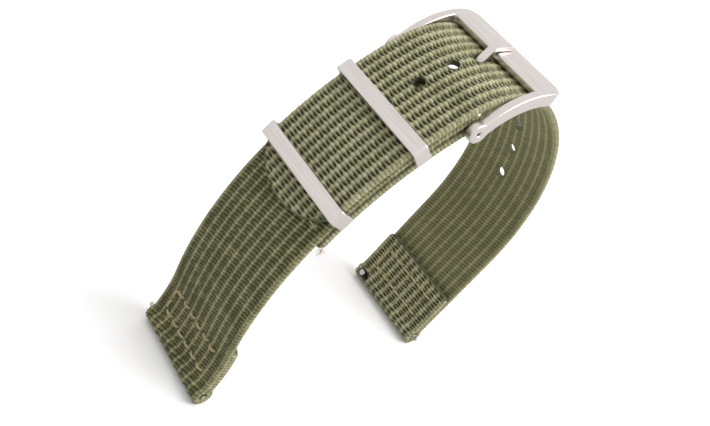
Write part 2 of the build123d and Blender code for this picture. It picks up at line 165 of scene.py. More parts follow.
# the fold round the buckle's pin, from the outer layer to the lower one
lowerOut = -thick - strap["pocket"] - thick / 2
pinReach = strap["legRadius"] - foldOuter
bendReach = strap["legRadius"] + lowerOut - strap["pinBend"]
bothRadii = strap["pinBend"] + foldMiddle
swing = math.acos((bendReach ** 2 + pinReach ** 2 - bothRadii ** 2) / (2 * bendReach * pinReach))
bendX, bendY = bendReach * math.cos(swing), -bendReach * math.sin(swing)
meetAngle = math.degrees(math.atan2(bendY, bendX - pinReach)) + 360.0
legCentre = guide.at(pinPlace, -strap["legRadius"])[0][:2]
joinPlace = pinPlace - strap["legRadius"] * swing
pinFold = np.concatenate([
    arc((pinReach, 0), foldMiddle, 0.0, meetAngle),
    arc((bendX, bendY), strap["pinBend"], meetAngle - 180.0, 180.0 - math.degrees(swing) - meetAngle)])
pinFold = placed(pinFold, legCentre, unit(pin[2] + 90), unit(pin[2]))

# the middle lines of the two pieces of webbing, folds included
shortLine = np.concatenate([
    level(underEnd, joinPlace, lowerOut), pinFold[::-1], level(pinPlace, lugJoin, -thick / 2),
    lugEye(shortBar[:2], unit(shortBar[2]), unit(shortBar[2] - 90)),
    level(lugJoin, strap["foldBack"], -foldDepth + thick / 2)])
longLine = np.concatenate([
    level(tailTip, loopEnd - lugJoin, longOut - thick / 2),
    lugEye(longBar[:2], -unit(longBar[2]), unit(longBar[2] - 90)),
    level(loopEnd - lugJoin, loopEnd - strap["foldBack"], longOut - foldDepth + thick / 2)])


# a middle line measured along its own length
class Ribbon:
    def __init__(self, line):
        steps = np.linalg.norm(np.diff(line, axis=0), axis=1)
        self.line = line[np.concatenate([[True], steps > fine["shortest"]])]
        self.places = np.concatenate([[0], np.cumsum(np.linalg.norm(np.diff(self.line, axis=0), axis=1))])
        self.length = self.places[-1]

    def point(self, places):
        inner = np.clip(places, 0, self.length)
        return np.stack([np.interp(inner, self.places, self.line[:, k]) for k in (0, 1)], -1)

    # points at places along the line, and the way out to its left
    def at(self, places):
        way = self.point(places + fine["look"]) - self.point(places - fine["look"])
        way /= np.linalg.norm(way, axis=-1, keepdims=True)
        return self.point(places), np.stack([-way[..., 1], way[..., 0]], -1)

    def near(self, point):
        gap = np.linalg.norm(self.line - np.asarray(point)[None, :2], axis=1)
        return float(self.places[gap.argmin()])


shortRibbon = Ribbon(shortLine)
longRibbon = Ribbon(longLine)
print("webbing lengths", round(shortRibbon.length, 1), round(longRibbon.length, 1))

# the weave: ribs run along the webbing and strands lie across it
weave = dict(
    ribPitch=2.09, columns=88, strandPitch=0.74, strandSteps=4,
    selvedge=0.55, selvedgeRamp=0.2, selvedgeCrown=0.72,
)
# the webbing's edges, its cut ends and the melted rims of its holes
edging = dict(
    width=0.42, steps=6, squareness=3.0, reliefGain=1.5, bulge=(-0.12, 0.05),
    cornerRadius=1.4, cornerRun=3.0, curveShare=0.985,
    endMelt=0.45, endMeltShare=0.3, holeMelt=0.3, sideStrip=0.3, meltDrop=0.04, closed=1e-5, flattest=1e-6,
)
# its two faces: knotted ridges over deep pits, and thin ridges over slanted strands
knotted = dict(
    crown=0.06, valley=-0.15, crownCut=0.13, valleyCut=0.30, valleyWidth=0.56, crownWidth=1.04,
    ridgeLow=0.50, ridgeHigh=0.98, shift=0.11, lean=0.03,
)
ridged = dict(
    crown=0.04, valley=-0.12, crownCut=0.16, valleyCut=0.22, valleyWidth=0.86, crownWidth=0.96,
    ridgeLow=0.74, ridgeHigh=1.0, shift=0.05, lean=-0.24,
)


# height of the relief over the plain face
def relief(places, across, face):
    strand = (places + face["lean"] * across) / weave["strandPitch"]
    index = np.floor(strand)
    shift = face["shift"] * (1 - 2 * np.mod(index, 2))
    rib = (across + shift) / weave["ribPitch"] + 0.5
    crown = np.clip((np.abs(np.sin(np.pi * rib)) - face["ridgeLow"])
                    / (face["ridgeHigh"] - face["ridgeLow"]), 0, 1)
    crown = crown * crown * (3 - 2 * crown)
    selvedge = np.clip((np.abs(across) - half + weave["selvedge"]) / weave["selvedgeRamp"], 0, 1)
    crown = np.maximum(crown, selvedge * weave["selvedgeCrown"])
    width = face["valleyWidth"] + (face["crownWidth"] - face["valleyWidth"]) * crown
    aside = np.abs(2 * (strand - index) - 1) / width
    dome = np.sqrt(np.clip(1 - aside ** 2, 0, 1))
    cut = face["valleyCut"] + (face["crownCut"] - face["valleyCut"]) * crown
    return face["valley"] + (face["crown"] - face["valley"]) * crown - (1 - dome) * cut


# signed distance to a rounded box, negative within it
def fromBox(places, across, cut):
    corner = cut["corner"]
    a = np.abs(places - cut["place"]) - cut["alongHalf"] + corner
    b = np.abs(across - cut["across"]) - cut["acrossHalf"] + corner
    return np.hypot(np.maximum(a, 0), np.maximum(b, 0)) + np.minimum(np.maximum(a, b), 0) - corner


# how far the rounded corners set a plain end back
def setBack(across):
    radius = edging["cornerRadius"]
    inward = np.clip(np.abs(across) - half + radius, 0, radius * edging["curveShare"])
    return radius - np.sqrt(radius ** 2 - inward ** 2)


# the rows beside a plain end, pushed in behind its corners
def pushed(gap, back):
    run = edging["cornerRun"]
    return np.where(gap < run, back + gap / run * (run - back), gap)


# the rows beside a tip, drawn into half an ellipse, and each point's distance from its outline
def drawnIn(places, across, tip):
    b = edging["curveShare"] * across / half
    begin = tip * (1 - np.sqrt(1 - b ** 2))
    places = np.where(places < tip, begin + places / tip * (tip - begin), places)
    a = (tip - places) / tip
    slope = 2 * np.hypot(a / tip, b / half)
    gap = np.where(places < tip, np.maximum(1 - a ** 2 - b ** 2, 0) / (slope + edging["flattest"]), half)
    return places, gap


# places along and across a band, closer together at its edges, and how far each is from an end
def bandGrid(ribbon, tip):
    edge, length = edging["width"], ribbon.length
    soft = edge * (1 - np.cos(np.linspace(0, np.pi / 2, edging["steps"])))
    step = weave["strandPitch"] / weave["strandSteps"]
    rows = np.concatenate([soft[:-1], np.arange(edge, length - edge, step), length - soft[::-1]])
    inner = np.linspace(edge - half, half - edge, weave["columns"])
    columns = np.concatenate([-half + soft[:-1], inner, half - soft[-2::-1]])
    places, across = np.meshgrid(rows, columns, indexing="ij")
    back = setBack(across)
    places = length - pushed(length - places, back)
    if not tip:
        places = pushed(places, back)
    outline = dict(place=length / 2, across=0.0, alongHalf=length / 2, acrossHalf=half,
                   corner=edging["cornerRadius"])
    endGap = -fromBox(places, across, outline)
    if tip:
        places, tipGap = drawnIn(places, across, tip)
        endGap = np.where(places < length / 2, tipGap, endGap)
    return places, across, endGap


# how the points round a cut-out are brought to its rim
punching = dict(nudge=1e-3, rounds=3, leastSlope=0.2)


# marks the cells within a cut-out, and moves the points round them onto its rim
def punch(places, across, cut):
    middles = [(grid[:-1, :-1] + grid[1:, 1:]) / 2 for grid in (places, across)]
    gone = fromBox(*middles, cut) < 0
    rim = np.zeros(places.shape, bool)
    kept = np.zeros(places.shape, bool)
    rows, columns = gone.shape
    for i in (0, 1):
        for j in (0, 1):
            rim[i:rows + i, j:columns + j] |= gone
            kept[i:rows + i, j:columns + j] |= ~gone
    rim &= kept
    nudge = punching["nudge"]
    for _ in range(punching["rounds"]):
        here = fromBox(places[rim], across[rim], cut)
        a = (fromBox(places[rim] + nudge, across[rim], cut) - here) / nudge
        b = (fromBox(places[rim], across[rim] + nudge, cut) - here) / nudge
        size = np.maximum(a ** 2 + b ** 2, punching["leastSlope"])
        places[rim] -= here * a / size
        across[rim] -= here * b / size
    return gone


# quads through the thickness round the open cells
def cutWalls(opened, upper, under):
    rows, columns = opened.shape
    walls = []
    for i, j in np.argwhere(opened):
        a, b, c, d = (i, j), (i, j + 1), (i + 1, j + 1), (i + 1, j)
        beside = (i - 1, j, a, b), (i + 1, j, c, d), (i, j - 1, d, a), (i, j + 1, b, c)
        for row, column, first, second in beside:
            if 0 <= row < rows and 0 <= column < columns and not opened[row, column]:
                walls.append([upper[first], upper[second], under[second], under[first]])
    return walls


def meshObject(name, vertices, faces, uvs=None):
    mesh = bpy.data.meshes.new(name)
    mesh.from_pydata((vertices * mm).tolist(), [], faces)
    if uvs is not None:
        layer = mesh.uv_layers.new(name="weave")
        corners = np.empty(len(mesh.loops), np.int32)
        mesh.loops.foreach_get("vertex_index", corners)
        layer.uv.foreach_set("vector", uvs[corners].astype(np.float32).ravel())
    mesh.polygons.foreach_set("use_smooth", np.ones(len(mesh.polygons), bool))
    mesh.update()
    made = bpy.data.objects.new(name, mesh)
    bpy.context.scene.collection.objects.link(made)
    return made


# how woven each point still is: not at all where an end or a hole's rim is melted; this share also sets the
# rims' darker tone, melted webbing darkened further by painted shade
def stillWoven(places, length, sideGap, endGap, holeGap):
    cutGap = np.where(sideGap < edging["sideStrip"], np.minimum(places, length - places), endGap)
    return np.clip(np.minimum(cutGap / edging["endMelt"] - edging["endMeltShare"],
                              holeGap / edging["holeMelt"]), 0, 1)


# the points of both faces, which part from each other behind the edges
def facePoints(ribbon, places, across, sideGap, endGap, woven, sides):
    inside = 1 - np.clip(np.minimum(sideGap, endGap) / edging["width"], 0, 1)
    parted = (1 - inside ** edging["squareness"]) ** (1 / edging["squareness"])
    spot, normal = ribbon.at(places)
    layers = []
    for side, face in zip((1, -1), sides):
        rise = relief(places, across, face) * woven - edging["meltDrop"] * (1 - woven)
        lift = side * parted * (thick / 2 + rise * np.clip(parted * edging["reliefGain"], 0, 1))
        bulge = np.clip(rise, *edging["bulge"]) * np.clip(1 - sideGap / edging["width"], 0, 1)
        layers.append(np.stack([spot[..., 0] + normal[..., 0] * lift, across + np.sign(across) * bulge,
                                spot[..., 1] + normal[..., 1] * lift], -1).reshape(-1, 3))
    return np.concatenate(layers)


# a woven band along a ribbon: two faces with relief, closed at the edges, with cut-outs
def wovenBand(name, ribbon, cuts, tip, sides):
    places, across, endGap = bandGrid(ribbon, tip)
    sideGap = half - np.abs(across)
    opened = np.zeros((places.shape[0] - 1, places.shape[1] - 1), bool)
    holeGap = np.full(places.shape, half)
    for cut in cuts:
        opened |= punch(places, across, cut)
        holeGap = np.minimum(holeGap, np.maximum(fromBox(places, across, cut), 0))
    woven = stillWoven(places, ribbon.length, sideGap, endGap, holeGap)
    vertices = facePoints(ribbon, places, across, sideGap, endGap, woven, sides)
    uvs = np.tile(np.stack([places, across], -1).reshape(-1, 2), (2, 1))
    meltAndShade = np.tile(woven.ravel(), 2)

    # the faces share their points along the outline, and the walls have their own for a sharp rim
    border = np.minimum(sideGap, endGap) < edging["closed"]
    border[0] = border[-1] = True
    upper = np.arange(places.size).reshape(places.shape)
    under = np.where(border, upper, upper + places.size)
    top, bottom = (np.stack([grid[:-1, :-1], grid[1:, :-1], grid[1:, 1:], grid[:-1, 1:]], -1)[~opened]
                   for grid in (upper, under))
    walls = np.array(cutWalls(opened, upper, under))
    corners, again = np.unique(walls, return_inverse=True)
    faces = np.concatenate([top, bottom[:, ::-1], again.reshape(-1, 4) + len(vertices)])
    vertices = np.concatenate([vertices, vertices[corners]])
    uvs = np.concatenate([uvs, uvs[corners]])
    # the walls of the cut-outs take the rims' darker tone in full, partly painted shade
    meltAndShade = np.concatenate([meltAndShade, np.zeros(len(corners))])

    used, again = np.unique(faces, return_inverse=True)
    made = meshObject(name, vertices[used], again.reshape(-1, 4).tolist(), uvs[used])
    for _ in sides:
        made.data.materials.append(None)
    worn = np.repeat((0, 1, 0), (len(top), len(bottom), len(walls))).astype(np.int32)
    made.data.polygons.foreach_set("material_index", worn)
    kept = made.data.attributes.new("meltAndShade", "FLOAT", "POINT")
    kept.data.foreach_set("value", meltAndShade[used].astype(np.float32))
    print(name, "faces", len(faces))
    return made


# holes along the middle of the hole piece: all alike but the worn one, where the tongue comes through
punched = dict(radius=1.1, pitch=6.8, wornPlace=83.044, wornLength=4.0, before=3, after=6)
unwornPlace = punched["wornPlace"] + punched["wornLength"] / 2 - punched["radius"]
holes = []
for count in range(-punched["before"], punched["after"] + 1):
    place = unwornPlace + punched["pitch"] * count if count else punched["wornPlace"]
    along = punched["radius"] if count else punched["wornLength"] / 2
    spot = longRibbon.near(guide.at(place, longOut - thick / 2)[0])
    holes.append(dict(place=spot, across=0.0, alongHalf=along, acrossHalf=punched["radius"],
                      corner=punched["radius"]))

# the slot for the tongue in the fold round the pin
slot = dict(half=1.15, gap=0.35, corner=0.2)
nearPin = [place for place, point in zip(shortRibbon.places, shortRibbon.line)
           if np.linalg.norm(point - pin[:2]) < foldOuter + slot["gap"]]
slotCut = dict(place=(nearPin[0] + nearPin[-1]) / 2, across=0.0, alongHalf=(nearPin[-1] - nearPin[0]) / 2,
               acrossHalf=slot["half"], corner=slot["corner"])

# the notch for a bar's knob in a lug's fold
notch = dict(place=8.9, travel=1.3, half=0.9, alongShare=0.8, shortShift=0.8)


def notchCut(ribbon, bar, shift):
    spot = bar[:2] + unit(bar[2] - 90) * foldMiddle
    alongHalf = notch["half"] * notch["alongShare"]
    return dict(place=ribbon.near(spot), across=notch["place"] - notch["travel"] / 2 + shift,
                alongHalf=alongHalf, acrossHalf=notch["half"] + notch["travel"] / 2, corner=alongHalf)


shortCuts = [slotCut, notchCut(shortRibbon, shortBar, notch["shortShift"])]
longCuts = holes + [notchCut(longRibbon, longBar, 0.0)]
shortWeb = wovenBand("shortWeb", shortRibbon, shortCuts, 0.0, (knotted, ridged))
longWeb = wovenBand("longWeb", longRibbon, longCuts, strap["tipLength"], (knotted, ridged))


# seams: each thread lies on a face and dips into the webbing at every post
seam = dict(
    radius=0.24, sides=8, steps=12, lift=0.16, liftInside=0.24, dip=1.0, slack=0.07,
    rise=1.75, sunk=0.55, blunt=0.6,
    lugLow=3.6, lugHigh=8.8, lugStitches=6, lugMargin=3.1,
    keeperOffset=4.2, keeperMargin=1.7, keeperStitches=6, rearBack=27.0, frontBack=10.4,
)


def tube(points, radius, sides):
    points = np.asarray(points)
    way = np.gradient(points, axis=0)
    way /= np.linalg.norm(way, axis=1, keepdims=True)
    side = np.cross(way, (0.31, 0.17, 0.93))  # a direction that no thread follows
    side /= np.linalg.norm(side, axis=1, keepdims=True)
    up = np.cross(side, way)
    angles = np.linspace(0, 2 * np.pi, sides, endpoint=False)
    size = np.broadcast_to(np.asarray(radius, float), len(points))
    rings = points[:, None] + size[:, None, None] * (
        np.cos(angles)[None, :, None] * side[:, None] + np.sin(angles)[None, :, None] * up[:, None])
    number = np.arange(len(points) * sides).reshape(len(points), sides)
    after = np.roll(number, -1, axis=1)
    faces = np.stack([number[:-1], after[:-1], after[1:], number[1:]], -1).reshape(-1, 4).tolist()
    faces += [number[0][::-1].tolist(), number[-1].tolist()]
    return rings.reshape(-1, 3), faces


def joined(name, tubes):
    vertices, faces, count = [], [], 0
    for points, quads in tubes:
        vertices.append(points)
        faces += [[k + count for k in face] for face in quads]
        count += len(points)
    return meshObject(name, np.concatenate(vertices), faces)


# one thread through the posts at a height over the guide, dipping by a depth at every post
def stitchThread(posts, height, depth):
    line = []
    share = np.linspace(0, 1, seam["steps"], endpoint=False)
    hump = np.sin(np.pi * share)
    wave = np.clip(hump * seam["rise"] - seam["sunk"], 0, 1) ** seam["blunt"]
    out = height + depth * (wave - 1)
    for (fromPlace, fromAcross), (toPlace, toAcross) in zip(posts, posts[1:]):
        bow = seam["slack"] * rng.uniform(-1, 1) * hump
        flat = guide.at(fromPlace + (toPlace - fromPlace) * share + bow)
        away = np.radians(flat[:, 2])
        line.append(np.stack([flat[:, 0] - np.sin(away) * out, fromAcross + (toAcross - fromAcross) * share,
                              flat[:, 1] + np.cos(away) * out], 1))
    return tube(np.concatenate(line), seam["radius"], seam["sides"])


def rowAcross(margin, count):
    reach = half - margin
    return [reach * (2 * i / count - 1) for i in range(count + 1)]


def bothSides(posts, top, bottom):
    upper = stitchThread(posts, top + seam["lift"], seam["dip"])
    lower = stitchThread(posts, bottom - seam["liftInside"], -seam["dip"])
    return [upper, lower]


# two rows across a lug's fold, joined along one side
def lugSeam(toPlace, top):
    across = rowAcross(seam["lugMargin"], seam["lugStitches"])
    low, high = toPlace(seam["lugLow"]), toPlace(seam["lugHigh"])
    middle = toPlace((seam["lugLow"] + seam["lugHigh"]) / 2)
    last = across[-1]
    rows = [[(low, y) for y in across], [(high, y) for y in across],
            [(low, last), (middle, last), (high, last)]]
    return [made for row in rows for made in bothSides(row, top, top - foldDepth)]


shortSeam = joined("shortSeam", lugSeam(lambda place: place, 0.0))
longSeam = joined("longSeam", lugSeam(lambda place: loopEnd - place, longOut))
keeperRows = []
for back in (seam["rearBack"], seam["frontBack"]):
    for side in (-1, 1):
        place = pinPlace - back + side * seam["keeperOffset"]
        posts = [(place, y) for y in rowAcross(seam["keeperMargin"], seam["keeperStitches"])]
        keeperRows += bothSides(posts, 0.0, -2 * thick - strap["pocket"])


# loose fibres: each starts at a place of the guide and wanders
fibres = dict(
    radius=0.045, taper=0.4, sides=6, steps=14, wander=0.9,
    scatter=0.25, scatterShares=(1, 0.3, 1), lengthShares=(0.5, 1.1),
)
tufts = (
    dict(place=underEnd + 0.4, out=lowerOut, across=-10.9, count=16, length=1.7, way=(-0.5, -0.6, -0.3)),
    dict(place=pinPlace + 1.2, out=-3.9, across=-10.8, count=5, length=2.2, way=(0.3, -0.5, -0.8)),
    dict(place=5.5, out=-0.1, across=8.3, count=2, length=1.2, way=(-0.7, 0.1, 0.5)),
)


def fibre(start, way, length):
    steps = fibres["steps"]
    turns = np.cumsum(rng.normal(0, fibres["wander"] / math.sqrt(steps), (steps, 3)), axis=0)
    path = np.asarray(way) + turns
    path /= np.linalg.norm(path, axis=1, keepdims=True)
    line = np.asarray(start) + np.cumsum(path, axis=0) * length / steps
    radii = fibres["radius"] * np.linspace(1, fibres["taper"], steps)
    return tube(line, radii, fibres["sides"])


for tuft in tufts:
    x, z, _ = guide.at(tuft["place"], tuft["out"])[0]
    for _ in range(tuft["count"]):
        scatter = rng.normal(0, fibres["scatter"], 3) * fibres["scatterShares"]
        length = tuft["length"] * rng.uniform(*fibres["lengthShares"])
        keeperRows.append(fibre(np.array([x, tuft["across"], z]) + scatter, tuft["way"], length))
keeperSeam = joined("keeperSeam", keeperRows)
print("stitching made")


# shader values with ordinary arithmetic
class Value:
    def __init__(self, tree, socket):
        self.tree = tree
        self.socket = socket

    def maths(self, kind, *values):
        node = self.tree.nodes.new("ShaderNodeMath")
        node.operation = kind
        for place, value in zip(node.inputs, values):
            if isinstance(value, Value):
                self.tree.links.new(value.socket, place)
            else:
                place.default_value = value
        return Value(self.tree, node.outputs[0])

    def __add__(self, other):
        return self.maths("ADD", self, other)

    def __radd__(self, other):
        return self.maths("ADD", other, self)

    def __sub__(self, other):
        return self.maths("SUBTRACT", self, other)

    def __rsub__(self, other):
        return self.maths("SUBTRACT", other, self)

    def __mul__(self, other):
        return self.maths("MULTIPLY", self, other)

    def __rmul__(self, other):
        return self.maths("MULTIPLY", other, self)

    def __truediv__(self, other):
        return self.maths("DIVIDE", self, other)

    def __rtruediv__(self, other):
        return self.maths("DIVIDE", other, self)

    def __abs__(self):
        return self.maths("ABSOLUTE", self)

    def __floor__(self):
        return self.maths("FLOOR", self)

    def sine(self):
        return self.maths("SINE", self)

    def atLeast(self, other):
        return self.maths("MAXIMUM", self, other)

    def atMost(self, other):
        return self.maths("MINIMUM", self, other)

    def within(self):
        return self.atLeast(0.0).atMost(1.0)

    def ramp(self, low, high):
        return ((self - low) / (high - low)).within()


# the nodes of one tree
class Nodes:
    def __init__(self, tree):
        self.tree = tree

    def node(self, kind, settings=None, values=None):
        made = self.tree.nodes.new(kind)
        for key, value in (settings or {}).items():
            setattr(made, key, value)
        for key, value in (values or {}).items():
            self.put(made.inputs[key], value)
        return made

    def put(self, socket, value):
        if isinstance(value, Value):
            self.tree.links.new(value.socket, socket)
        elif isinstance(value, bpy.types.NodeSocket):
            self.tree.links.new(value, socket)
        else:
            socket.default_value = value

    def value(self, node, output=0):
        return Value(self.tree, node.outputs[output])

    # a colour from first to second
    def mix(self, factor, first, second):
        made = self.node("ShaderNodeMix", dict(data_type="RGBA"), {0: factor, 6: first, 7: second})
        return made.outputs[2]

    def noise(self, vector, scale, detail=2.0, rough=0.5):
        made = self.node("ShaderNodeTexNoise", None,
                         {"Vector": vector, "Scale": scale, "Detail": detail, "Roughness": rough})
        return self.value(made)

    def flatPoint(self, x, y):
        return self.node("ShaderNodeCombineXYZ", None, {0: x, 1: y, 2: 0.0}).outputs[0]

    def stretched(self, vector, scale):
        made = self.node("ShaderNodeVectorMath", dict(operation="MULTIPLY"), {0: vector, 1: scale})
        return made.outputs[0]

    def bump(self, height, strength, distance):
        made = self.node("ShaderNodeBump", None,
                         {"Height": height, "Strength": strength, "Distance": distance})
        return made.outputs[0]


# a material with one principled shader
class Paint(Nodes):
    def __init__(self, name):
        self.material = bpy.data.materials.new(name)
        self.material.use_nodes = True
        super().__init__(self.material.node_tree)
        self.shader = next(n for n in self.tree.nodes if n.type == "BSDF_PRINCIPLED")

    def set(self, **values):
        for key, value in values.items():
            self.put(self.shader.inputs[key.replace("_", " ")], value)


# a colour on the scale of 255, for a shader
def tone(red, green, blue):
    parts = [v / 255 for v in (red, green, blue)]
    return tuple(v / 12.92 if v < 0.04045 else ((v + 0.055) / 1.055) ** 2.4 for v in parts) + (1.0,)


# tones of each face of the webbing, and what all of it shares: the light tone is painted light on the
# ridges, and the dark one painted shade in the pits
cloth = dict(
    knotted=dict(light=tone(226, 220, 182), middle=tone(137, 136, 99), pitShadeTone=tone(56, 60, 35),
                 ridgeLight=0.24, glint=0.40, base=0.08, cover=0.55, pitLow=0.64, pitHigh=1.12,
                 bridgeHighlight=0.16, shoulder=0.14),
    # the ridged face on the short strap: a darker copy of the one below, painted shade
    ridged=dict(light=tone(200, 193, 146), middle=tone(96, 98, 62), pitShadeTone=tone(38, 42, 21),
                ridgeLight=0.46, glint=0.45, base=0.05, cover=0.40, pitLow=0.62, pitHigh=1.10,
                bridgeHighlight=0.10, shoulder=0.15),
    # the same ridged face on the long strap's inner side: a lighter copy, painted light, with softer
    # contrast
    inner=dict(light=tone(186, 180, 140), middle=tone(133, 133, 93), pitShadeTone=tone(86, 88, 58),
               ridgeLight=0.56, glint=0.15, base=0.06, cover=0.60, pitLow=0.60, pitHigh=1.15,
               bridgeHighlight=0.05, shoulder=0.10),
    # the rims' darker tone: melted webbing, darkened further by painted shade on the cut ends and the walls
    # of the holes
    meltedAndShaded=tone(92, 95, 68), roughness=0.78, meltedShine=0.2, specular=0.25, sheen=0.12,
    strandTone=0.30, patchTone=0.5, patchScale=0.22, yarnTone=0.5, yarnStretch=(9.0, 1.6, 1.0), detail=3.0,
    plies=3.0, plyWander=0.8, plyHighlight=0.16, plyBump=0.5, bumpStrength=0.7, bumpDepth=0.00005,
    glintPlace=0.66, glintHalf=0.24, bridgeHighlightHalf=0.7,
)


# the same weave as in the relief, from the coordinates of the mesh in millimetres, with painted shade in
# its pits and on its ridges' shoulders, and painted light on its ridges and strands
def clothPaint(name, face, tones):
    paint = Paint(name)
    woven = paint.node("ShaderNodeUVMap", dict(uv_map="weave")).outputs[0]
    parts = paint.node("ShaderNodeSeparateXYZ", None, {0: woven})
    place, across = paint.value(parts, 0), paint.value(parts, 1)
    strand = (place + across * face["lean"]) / weave["strandPitch"]
    index = math.floor(strand)
    odd = index - math.floor(index / 2.0) * 2.0
    rib = (across + face["shift"] - odd * (2 * face["shift"])) / weave["ribPitch"] + 0.5
    crown = abs((rib * math.pi).sine()).ramp(face["ridgeLow"], face["ridgeHigh"])
    selvedgeStart = half - weave["selvedge"]
    selvedge = abs(across).ramp(selvedgeStart, selvedgeStart + weave["selvedgeRamp"])
    crown = (crown * crown * (3.0 - crown * 2.0)).atLeast(selvedge * weave["selvedgeCrown"])
    width = crown * (face["crownWidth"] - face["valleyWidth"]) + face["valleyWidth"]
    phase = strand - index
    aside = abs(phase * 2.0 - 1.0) / width
    # painted shade: the pits between the strands darken towards the shade tone, less where a ridge covers
    # them
    pitShade = aside.ramp(tones["pitLow"], tones["pitHigh"]) * (1.0 - crown * tones["cover"])

    # uneven yarn: strand by strand and in patches; and stripes along the plies of each strand, painted
    # highlight lines
    knot = paint.flatPoint(index, math.floor(rib))
    each = paint.value(paint.node("ShaderNodeTexWhiteNoise", dict(noise_dimensions="3D"), {"Vector": knot}))
    flat = paint.flatPoint(place, across)
    patch = paint.noise(flat, cloth["patchScale"], cloth["detail"])
    yarn = paint.noise(paint.stretched(flat, cloth["yarnStretch"]), 1.0, cloth["detail"])
    turns = strand * cloth["plies"] + yarn * cloth["plyWander"]
    plies = (turns * (2 * math.pi)).sine() * 0.5 + 0.5

    # painted highlight: a glint on each strand along the ridges
    glint = (1.0 - abs((phase - cloth["glintPlace"]) / cloth["glintHalf"])).atLeast(0.0) * crown
    # painted highlight: a light spot on each strand that bridges a valley
    bridgeHighlight = (1.0 - aside / cloth["bridgeHighlightHalf"]).atLeast(0.0) * (1.0 - crown)
    # painted shade: darker on the shoulders between ridge and valley
    shoulder = crown * (1.0 - crown) * 4.0
    # painted light: the ridge tops lighter, as light falls on them
    lightness = (crown * tones["ridgeLight"] + glint * tones["glint"] + tones["base"]
                 + bridgeHighlight * tones["bridgeHighlight"] - shoulder * tones["shoulder"]
                 + (each - 0.5) * cloth["strandTone"] + (patch - 0.5) * cloth["patchTone"]
                 + (yarn - 0.5) * cloth["yarnTone"] + (plies - 0.5) * cloth["plyHighlight"]).within()
    colour = paint.mix(pitShade, paint.mix(lightness, tones["middle"], tones["light"]), tones["pitShadeTone"])
    # mask of the rims' darker tone: melted webbing with painted shade
    meltAndShade = paint.value(paint.node("ShaderNodeAttribute", dict(attribute_name="meltAndShade")), "Fac")
    paint.set(Base_Color=paint.mix(meltAndShade, cloth["meltedAndShaded"], colour),
              Roughness=cloth["roughness"] - (1.0 - meltAndShade) * cloth["meltedShine"],
              Specular_IOR_Level=cloth["specular"], Sheen_Weight=cloth["sheen"],
              Normal=paint.bump(yarn + plies * cloth["plyBump"], cloth["bumpStrength"], cloth["bumpDepth"]))
    return paint.material


thread = dict(
    low=tone(172, 158, 114), high=tone(216, 202, 158), twist=(9000.0, 2500.0, 9000.0), spread=(0.35, 0.65),
    roughness=0.8, bumpStrength=0.7, bumpDepth=0.00006,
)


def threadPaint(name):
    paint = Paint(name)
    spot = paint.node("ShaderNodeTexCoord").outputs["Object"]
    twist = paint.noise(paint.stretched(spot, thread["twist"]), 1.0)
    paint.set(Base_Color=paint.mix(twist.ramp(*thread["spread"]), thread["low"], thread["high"]),
              Roughness=thread["roughness"],
              Normal=paint.bump(twist, thread["bumpStrength"], thread["bumpDepth"]))
    return paint.material


# finishes of the steel, with the stretch of their grain; the near-black one is painted shade, not a finish
steel = dict(
    satin=dict(low=tone(206, 199, 195), high=tone(226, 219, 215), roughness=0.34, spread=0.10,
               grain=(5200.0, 90.0, 5200.0)),
    turned=dict(low=tone(176, 174, 170), high=tone(206, 204, 200), roughness=0.26, spread=0.08,
                grain=(300.0, 9000.0, 300.0)),
    # near-black steel, painted shade for the pin's tips within the ears
    paintedShade=dict(low=tone(12, 12, 12), high=tone(24, 23, 22), roughness=0.60, spread=0.08,
                grain=(300.0, 9000.0, 300.0)),
    drawn=dict(low=tone(140, 140, 138), high=tone(180, 180, 178), roughness=0.30, spread=0.08,
               grain=(300.0, 5200.0, 300.0)),
)
brushing = dict(detail=3.0, rough=0.6, spread=(0.3, 0.7), cloudScale=160.0, cloudSpread=0.08,
                bumpStrength=0.25, bumpDepth=0.00003)


def steelPaint(name, values):
    paint = Paint(name)
    spot = paint.node("ShaderNodeTexCoord").outputs["Object"]
    brush = paint.noise(paint.stretched(spot, values["grain"]), 1.0, brushing["detail"], brushing["rough"])
    cloud = paint.noise(spot, brushing["cloudScale"])
    uneven = (brush - 0.5) * values["spread"] + (cloud - 0.5) * brushing["cloudSpread"]
    paint.set(Base_Color=paint.mix(brush.ramp(*brushing["spread"]), values["low"], values["high"]),
              Metallic=1.0, Roughness=uneven + values["roughness"],
              Normal=paint.bump(brush, brushing["bumpStrength"], brushing["bumpDepth"]))
    return paint.material


# two copies of the ridged face: darker with painted shade on the short strap, lighter with painted light on
# the long strap's inner side
knottedCloth = clothPaint("knottedWebbing", knotted, cloth["knotted"])
shadedRidgedCloth = clothPaint("shadedRidgedWebbing", ridged, cloth["ridged"])
litInnerCloth = clothPaint("litInnerWebbing", ridged, cloth["inner"])
threadMaterial = threadPaint("thread")
steels = {finishAndShade: steelPaint(finishAndShade + "Steel", values) for finishAndShade, values in steel.items()}
print("materials made")


def wear(made, slotName, *materials):
    while len(made.data.materials) < len(materials):
        made.data.materials.append(None)
    for place, material in enumerate(materials):
        made.data.materials[place] = material


for made, node, slotName, materials in (
        (shortWeb, "short_strap", "webbing", (knottedCloth, shadedRidgedCloth)),
        (longWeb, "long_strap", "webbing", (knottedCloth, litInnerCloth)),
        (shortSeam, "short_lug_stitching", "thread", (threadMaterial,)),
        (longSeam, "long_lug_stitching", "thread", (threadMaterial,)),
        (keeperSeam, "keeper_stitching", "thread", (threadMaterial,))):
    wear(made, slotName, *materials)
    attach(made, "strap")
    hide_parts(node)

